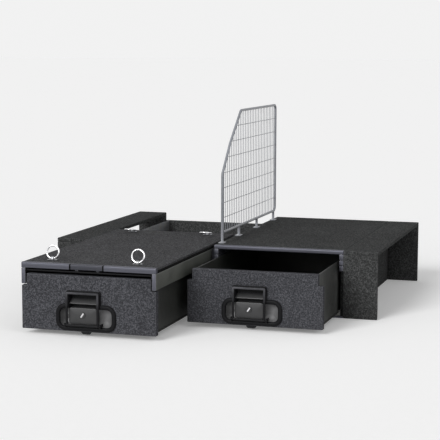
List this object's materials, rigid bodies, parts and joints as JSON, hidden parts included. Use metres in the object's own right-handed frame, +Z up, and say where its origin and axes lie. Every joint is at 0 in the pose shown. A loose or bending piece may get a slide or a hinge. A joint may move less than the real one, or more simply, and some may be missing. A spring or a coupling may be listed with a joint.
{
  "type": "four-wheel-drive storage system",
  "caption": "Twin sliding drawers side by side for a wagon's load bay, one under a roller floor with lashing rings, one under a fixed deck with side wings and a mesh divider.",
  "frame": {"origin": "under the middle of the whole system on the bay floor, with the trays drawn out as pictured", "axes": "+X to the right of someone facing the drawers, +Y into the load bay, +Z up"},
  "size_m": [1.289, 1.5824, 0.7646],
  "materials": {
    "face_carpet": "board wrapped in speckled mid-grey carpet",
    "deck_carpet": "board wrapped in dark grey carpet",
    "nosing_aluminium": "satin anodised extrusion",
    "rail_steel": "dark grey-green painted channel",
    "zinc_steel": "zinc-plated steel",
    "chrome": "polished chrome",
    "black_plastic": "fine-grained black moulding",
    "black_steel": "black powder coat",
    "nylon": "off-white low-friction nylon",
    "box_steel": "dark coated sheet",
    "mesh_wire": "grey coated wire and rod"
  },
  "bodies": {
    "carcass": {"left_base": "box_steel", "left_sill": "nosing_aluminium", "left_back": "deck_carpet", "left_side_outer": "deck_carpet", "left_side_inner": "deck_carpet", "left_runner_outer": "nylon", "left_runner_inner": "nylon", "left_wheel_plate_outer": "zinc_steel", "left_wheel_plate_inner": "zinc_steel", "right_base": "box_steel", "right_sill": "nosing_aluminium", "right_back": "deck_carpet", "right_side_outer": "deck_carpet", "right_side_inner": "deck_carpet", "right_runner_outer": "nylon", "right_runner_inner": "nylon", "right_rail_outer": "nosing_aluminium", "right_rail_inner": "nosing_aluminium", "right_deck": "deck_carpet", "right_nosing": "nosing_aluminium", "wing_left_top": "deck_carpet", "wing_left_front": "deck_carpet", "wing_right_top": "deck_carpet", "wing_right_front": "deck_carpet", "joiner_front": "nosing_aluminium", "joiner_rear": "nosing_aluminium", "divider_frame": "mesh_wire", "divider_net": "mesh_wire"},
    "roller_floor": {"floor_board": "deck_carpet", "floor_nosing": "nosing_aluminium", "floor_rail_outer": "rail_steel", "floor_rail_inner": "rail_steel", "anchor_front_outer": "zinc_steel", "anchor_front_inner": "zinc_steel", "anchor_rear_outer": "zinc_steel", "anchor_rear_inner": "zinc_steel"},
    "floor_latch": {"floor_lever": "nosing_aluminium", "floor_latch_bar": "zinc_steel"},
    "ring_front_outer_body": {"ring_front_outer": "chrome"},
    "ring_rear_outer_body": {"ring_rear_outer": "chrome"},
    "floor_wheel_front_outer_body": {"floor_wheel_front_outer": "nylon"},
    "floor_wheel_rear_outer_body": {"floor_wheel_rear_outer": "nylon"},
    "ring_front_inner_body": {"ring_front_inner": "chrome"},
    "ring_rear_inner_body": {"ring_rear_inner": "chrome"},
    "floor_wheel_front_inner_body": {"floor_wheel_front_inner": "nylon"},
    "floor_wheel_rear_inner_body": {"floor_wheel_rear_inner": "nylon"},
    "left_drawer": {"left_drawer_box": "box_steel", "left_drawer_back": "box_steel", "left_face": "face_carpet", "left_dish": "black_plastic"},
    "left_handle": {"left_bail": "black_steel"},
    "left_key_lock": {"left_lock": "chrome"},
    "left_latch_tongue": {"left_tongue": "zinc_steel"},
    "right_drawer": {"right_drawer_box": "box_steel", "right_drawer_back": "box_steel", "right_face": "face_carpet", "right_dish": "black_plastic"},
    "right_handle": {"right_bail": "black_steel"},
    "right_key_lock": {"right_lock": "chrome"},
    "right_latch_tongue": {"right_tongue": "zinc_steel"}
  },
  "joints": [
    {"name": "roller_floor_slide", "type": "slide", "parent": "carcass", "child": "roller_floor", "axis": [0, -1, 0], "range_m": [-0.6175, 0.0575]},
    {"name": "floor_lever_turn", "type": "hinge", "parent": "roller_floor", "child": "floor_latch", "pos_m": [-0.2615, -0.75875, 0.2275], "axis": [1, 0, 0], "range_deg": [0, 12], "stiffness_Nm_per_rad": 0.3, "springref_deg": -17.19},
    {"name": "ring_front_outer_swing", "type": "hinge", "parent": "roller_floor", "child": "ring_front_outer_body", "pos_m": [-0.423, -0.70575, 0.2631], "axis": [1, 0, 0], "range_deg": [-73, 97]},
    {"name": "ring_rear_outer_swing", "type": "hinge", "parent": "roller_floor", "child": "ring_rear_outer_body", "pos_m": [-0.423, 0.10375, 0.2631], "axis": [1, 0, 0], "range_deg": [-163, 7]},
    {"name": "floor_wheel_front_outer_turn", "type": "hinge", "parent": "carcass", "child": "floor_wheel_front_outer_body", "pos_m": [-0.5045, -0.09775, 0.20765], "axis": [1, 0, 0], "continuous": true},
    {"name": "floor_wheel_rear_outer_turn", "type": "hinge", "parent": "carcass", "child": "floor_wheel_rear_outer_body", "pos_m": [-0.5045, 0.04625, 0.20765], "axis": [1, 0, 0], "continuous": true},
    {"name": "ring_front_inner_swing", "type": "hinge", "parent": "roller_floor", "child": "ring_front_inner_body", "pos_m": [-0.1, -0.70575, 0.2631], "axis": [1, 0, 0], "range_deg": [-73, 97]},
    {"name": "ring_rear_inner_swing", "type": "hinge", "parent": "roller_floor", "child": "ring_rear_inner_body", "pos_m": [-0.1, 0.10375, 0.2631], "axis": [1, 0, 0], "range_deg": [-163, 7]},
    {"name": "floor_wheel_front_inner_turn", "type": "hinge", "parent": "carcass", "child": "floor_wheel_front_inner_body", "pos_m": [-0.0185, -0.09775, 0.20765], "axis": [1, 0, 0], "continuous": true},
    {"name": "floor_wheel_rear_inner_turn", "type": "hinge", "parent": "carcass", "child": "floor_wheel_rear_inner_body", "pos_m": [-0.0185, 0.04625, 0.20765], "axis": [1, 0, 0], "continuous": true},
    {"name": "left_drawer_slide", "type": "slide", "parent": "carcass", "child": "left_drawer", "axis": [0, -1, 0], "range_m": [-0.6175, 0.0825]},
    {"name": "left_handle_pull", "type": "hinge", "parent": "left_drawer", "child": "left_handle", "pos_m": [-0.277, -0.78775, 0.043], "axis": [1, 0, 0], "range_deg": [0, 75], "stiffness_Nm_per_rad": 0.08, "springref_deg": -20.05},
    {"name": "left_tongue_lift", "type": "slide", "parent": "left_drawer", "child": "left_latch_tongue", "axis": [0, 0, 1], "range_m": [0, 0.012]},
    {"name": "left_key_turn", "type": "hinge", "parent": "left_drawer", "child": "left_key_lock", "pos_m": [-0.277, -0.77625, 0.08], "axis": [0, 1, 0], "range_deg": [0, 90]},
    {"name": "right_drawer_slide", "type": "slide", "parent": "carcass", "child": "right_drawer", "axis": [0, -1, 0], "range_m": [-0.333, 0.367]},
    {"name": "right_handle_pull", "type": "hinge", "parent": "right_drawer", "child": "right_handle", "pos_m": [0.246, -0.50325, 0.043], "axis": [1, 0, 0], "range_deg": [0, 75], "stiffness_Nm_per_rad": 0.08, "springref_deg": -20.05},
    {"name": "right_tongue_lift", "type": "slide", "parent": "right_drawer", "child": "right_latch_tongue", "axis": [0, 0, 1], "range_m": [0, 0.012]},
    {"name": "right_key_turn", "type": "hinge", "parent": "right_drawer", "child": "right_key_lock", "pos_m": [0.246, -0.49175, 0.08], "axis": [0, 1, 0], "range_deg": [0, 90]}
  ],
  "couplings": [
    {"joint": "floor_wheel_front_outer_turn", "follows": "roller_floor_slide", "rad_per_m": 40},
    {"joint": "floor_wheel_rear_outer_turn", "follows": "roller_floor_slide", "rad_per_m": 40},
    {"joint": "floor_wheel_front_inner_turn", "follows": "roller_floor_slide", "rad_per_m": 40},
    {"joint": "floor_wheel_rear_inner_turn", "follows": "roller_floor_slide", "rad_per_m": 40},
    {"joint": "left_tongue_lift", "follows": "left_handle_pull", "m_per_rad": 0.0091},
    {"joint": "right_tongue_lift", "follows": "right_handle_pull", "m_per_rad": 0.0091}
  ]
}
